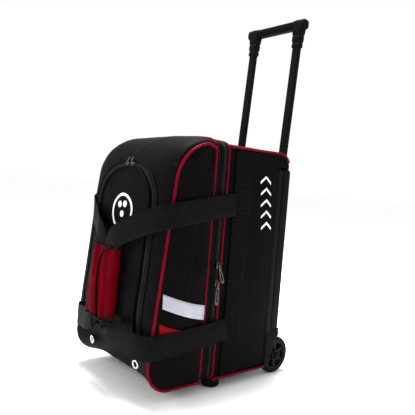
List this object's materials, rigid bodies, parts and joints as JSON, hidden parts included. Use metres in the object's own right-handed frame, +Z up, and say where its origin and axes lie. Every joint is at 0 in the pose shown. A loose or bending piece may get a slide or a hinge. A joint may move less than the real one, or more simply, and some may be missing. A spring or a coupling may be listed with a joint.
{
  "type": "bowling ball bag",
  "caption": "Upright roller bag for bowling balls with a zipped front lid, shoe pocket, carry handles, telescoping pull handle, moulded back and wheels.",
  "frame": {"origin": "on the floor, below the middle of the bag's overall box", "axes": "+Z up, the lid and shoe pocket face -Y, the wheels and pull handle are at +Y, +X is the bag's right side with the zip sliders"},
  "size_m": [0.322, 0.485, 0.8815],
  "materials": {
    "black_nylon": "woven, slightly shiny",
    "lining": "plain woven",
    "base_fabric": "coated, matt",
    "zip_tape": "ribbed, matt",
    "webbing": "ribbed",
    "crimson_piping": "satin",
    "red_fabric": "woven, padded",
    "reflective_white": "smooth",
    "black_plastic": "fine grain",
    "grip_rubber": "soft touch",
    "dark_aluminium": "anodised black",
    "plain_aluminium": "satin",
    "white_nylon": "smooth",
    "steel": "bright",
    "pull_metal": "gunmetal",
    "tyre_rubber": "matt",
    "hub_plastic": "satin"
  },
  "bodies": {
    "shell": {"base_panel": "base_fabric", "top_panel": "black_nylon", "back_panel": "black_nylon", "right_shell_side": "black_nylon", "left_shell_side": "black_nylon", "shell_zip_tape": "zip_tape", "lower_ball_pad": "lining", "ball_divider": "lining", "ball_bolsters": "lining", "right_side_webbing": "webbing", "left_side_webbing": "webbing", "right_shell_piping": "crimson_piping", "left_shell_piping": "crimson_piping", "back_tray": "black_plastic", "tray_screws": "steel", "right_tube_sleeve": "plain_aluminium", "left_tube_sleeve": "plain_aluminium", "tube_collars": "black_plastic", "sleeve_bracket": "black_plastic", "right_wheel_housing": "black_plastic", "left_wheel_housing": "black_plastic", "wheel_axle": "steel", "axle_spacers": "steel", "axle_caps": "black_plastic", "front_feet": "black_plastic", "foot_screws": "steel"},
    "lid": {"lid_front": "black_nylon", "right_lid_side": "black_nylon", "left_lid_side": "black_nylon", "lid_divider": "lining", "lid_zip_tape": "zip_tape", "right_lid_piping": "crimson_piping", "left_lid_piping": "crimson_piping", "vent_grommets": "pull_metal", "reflective_bands": "reflective_white", "red_patches": "red_fabric"},
    "flap": {"shoe_flap": "black_nylon", "flap_emblem": "reflective_white"},
    "right_pocket_runner": {"right_pocket_slider": "pull_metal"},
    "left_pocket_runner": {"left_pocket_slider": "pull_metal"},
    "pull_handle": {"right_inner_tube": "dark_aluminium", "left_inner_tube": "dark_aluminium", "tube_plugs": "white_nylon", "handle_grip": "grip_rubber", "right_grip_corner": "black_plastic", "left_grip_corner": "black_plastic"},
    "right_wheel": {"right_tyre": "tyre_rubber", "right_hub": "hub_plastic", "right_bush": "white_nylon"},
    "left_wheel": {"left_tyre": "tyre_rubber", "left_hub": "hub_plastic", "left_bush": "white_nylon"},
    "right_handle": {"right_carry_strap": "webbing", "handle_wrap": "red_fabric"},
    "left_handle": {"left_carry_strap": "webbing"},
    "upper_runner": {"upper_zip_slider": "pull_metal"},
    "upper_tab": {"upper_zip_pull": "pull_metal"},
    "lower_runner": {"lower_zip_slider": "pull_metal"},
    "lower_tab": {"lower_zip_pull": "pull_metal"}
  },
  "joints": [
    {"name": "lid_open", "type": "hinge", "parent": "shell", "child": "lid", "pos_m": [0, -0.056, 0.026], "axis": [1, 0, 0], "range_deg": [0, 90]},
    {"name": "shoe_flap_open", "type": "hinge", "parent": "lid", "child": "flap", "pos_m": [0, -0.21343, 0.1195], "axis": [-1, 0, 0], "range_deg": [-100, 0]},
    {"name": "handle_slide", "type": "slide", "parent": "shell", "child": "pull_handle", "axis": [0, 0.0698, 0.9976], "range_m": [-0.29, 0]},
    {"name": "right_wheel_spin", "type": "hinge", "parent": "shell", "child": "right_wheel", "pos_m": [0.135, 0.1627, 0.044], "axis": [1, 0, 0], "continuous": true},
    {"name": "left_wheel_spin", "type": "hinge", "parent": "shell", "child": "left_wheel", "pos_m": [-0.135, 0.1627, 0.044], "axis": [1, 0, 0], "continuous": true},
    {"name": "right_handle_swing", "type": "hinge", "parent": "shell", "child": "right_handle", "pos_m": [0.1532, -0.018, 0.27], "axis": [0, 0, 1], "range_deg": [0, 110], "deforming": ["right_carry_strap", "handle_wrap"]},
    {"name": "left_handle_swing", "type": "hinge", "parent": "shell", "child": "left_handle", "pos_m": [-0.1532, -0.018, 0.27], "axis": [0, 0, -1], "range_deg": [0, 110], "deforming": ["left_carry_strap"]},
    {"name": "upper_zip_slide", "type": "slide", "parent": "shell", "child": "upper_runner", "axis": [0, 0, 1], "range_m": [0, 0.21]},
    {"name": "lower_zip_slide", "type": "slide", "parent": "shell", "child": "lower_runner", "axis": [0, 0, 1], "range_m": [-0.165, 0]},
    {"name": "upper_pull_swing", "type": "hinge", "parent": "upper_runner", "child": "upper_tab", "pos_m": [0.157, -0.056, 0.276], "axis": [0, -0.9397, -0.342], "range_deg": [0, 150]},
    {"name": "lower_pull_swing", "type": "hinge", "parent": "lower_runner", "child": "lower_tab", "pos_m": [0.157, -0.056, 0.238], "axis": [0, -1, 0], "range_deg": [0, 150]},
    {"name": "right_pocket_slide", "type": "slide", "parent": "lid", "child": "right_pocket_runner", "axis": [1, 0, 0], "range_m": [0, 0.024]},
    {"name": "left_pocket_slide", "type": "slide", "parent": "lid", "child": "left_pocket_runner", "axis": [-1, 0, 0], "range_m": [0, 0.024]}
  ],
  "couplings": [
    {"joint": "right_handle_swing", "follows": "lid_open", "ratio": 1.2222},
    {"joint": "left_handle_swing", "follows": "lid_open", "ratio": 1.2222}
  ]
}
